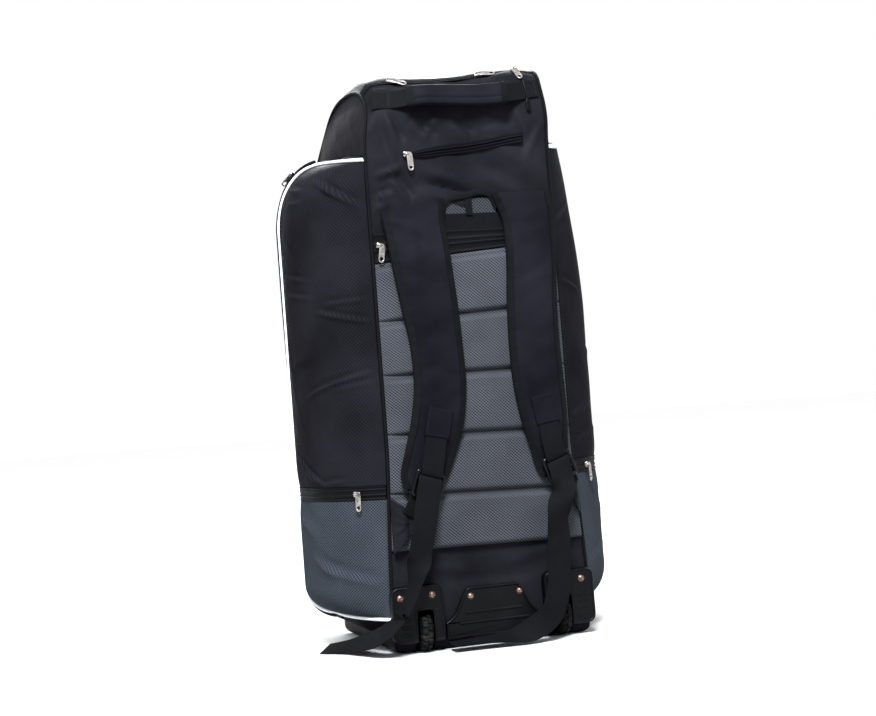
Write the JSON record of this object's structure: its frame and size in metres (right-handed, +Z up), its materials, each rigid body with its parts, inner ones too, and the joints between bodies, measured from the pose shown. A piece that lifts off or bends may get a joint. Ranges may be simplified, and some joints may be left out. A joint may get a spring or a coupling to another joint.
{
  "type": "wheeled kit bag",
  "caption": "Tall soft kit bag that stands on its base, with wide side pockets, a quilted mesh back, padded shoulder straps, a carrying handle and wheels at the lower back edge.",
  "frame": {"origin": "on the floor under the middle of the main body, at the middle of the base panel's underside", "axes": "+Z up, +X to the right of a viewer who faces the straps, -Y towards that viewer"},
  "size_m": [0.5288, 0.3814, 0.9436],
  "materials": {
    "cloth": "woven polyester, dull with a slight sheen",
    "strap_cloth": "dull woven polyester over foam",
    "mesh": "padded spacer mesh, matt",
    "webbing": "matt woven webbing",
    "zip_tape": "matt tape with nylon coil",
    "piping": "smooth white piping",
    "plastic": "fine moulded grain",
    "tyre": "dusty rubber",
    "steel": "bright plated metal"
  },
  "bodies": {
    "bag": {"back_panel": "cloth", "top_zip": "zip_tape", "top_flap": "cloth", "front_panel": "cloth", "base_panel": "cloth", "side_panel_right": "cloth", "side_panel_left": "cloth", "pocket_mesh_right": "mesh", "pocket_mesh_left": "mesh", "pocket_zip_right": "zip_tape", "pocket_zip_left": "zip_tape", "pocket_face_right": "cloth", "pocket_face_left": "cloth", "pocket_gusset_right": "cloth", "pocket_gusset_left": "cloth", "pocket_piping_right": "piping", "pocket_piping_left": "piping", "edge_piping_right": "webbing", "edge_piping_left": "webbing", "back_pad": "mesh", "stow_zip": "zip_tape", "yoke_patch": "mesh", "yoke_loop": "webbing", "yoke_binding": "webbing", "back_pocket_zip": "zip_tape", "handle_webbing": "webbing", "handle_grip": "strap_cloth", "shoulder_strap_left": "strap_cloth", "buckle_webbing_left": "webbing", "strap_webbing_left": "webbing", "strap_tab_left": "cloth", "strap_buckle_left": "plastic", "shoulder_strap_right": "strap_cloth", "buckle_webbing_right": "webbing", "strap_webbing_right": "webbing", "strap_tab_right": "cloth", "strap_buckle_right": "plastic", "wheel_housing_left": "plastic", "wheel_axle_left": "steel", "wheel_housing_right": "plastic", "wheel_axle_right": "steel", "kick_plate": "plastic", "rivet_housing_left_outer": "steel", "rivet_housing_left_inner": "steel", "rivet_kick_left": "steel", "rivet_kick_right": "steel", "rivet_housing_right_inner": "steel", "rivet_housing_right_outer": "steel", "back_pocket_pull": "steel", "stow_pull": "steel", "side_pull_left": "steel", "side_pull_right": "steel", "gusset_pull_left": "steel", "gusset_pull_right": "steel", "top_pull_left": "steel", "top_pull_right": "steel", "top_pull_middle": "steel"},
    "wheel_left": {"wheel_left": "tyre"},
    "wheel_right": {"wheel_right": "tyre"}
  },
  "joints": [
    {"name": "wheel_left_spin", "type": "hinge", "parent": "bag", "child": "wheel_left", "pos_m": [-0.115, -0.142, 0.034], "axis": [1, 0, 0], "continuous": true},
    {"name": "wheel_right_spin", "type": "hinge", "parent": "bag", "child": "wheel_right", "pos_m": [0.115, -0.142, 0.034], "axis": [1, 0, 0], "continuous": true}
  ]
}
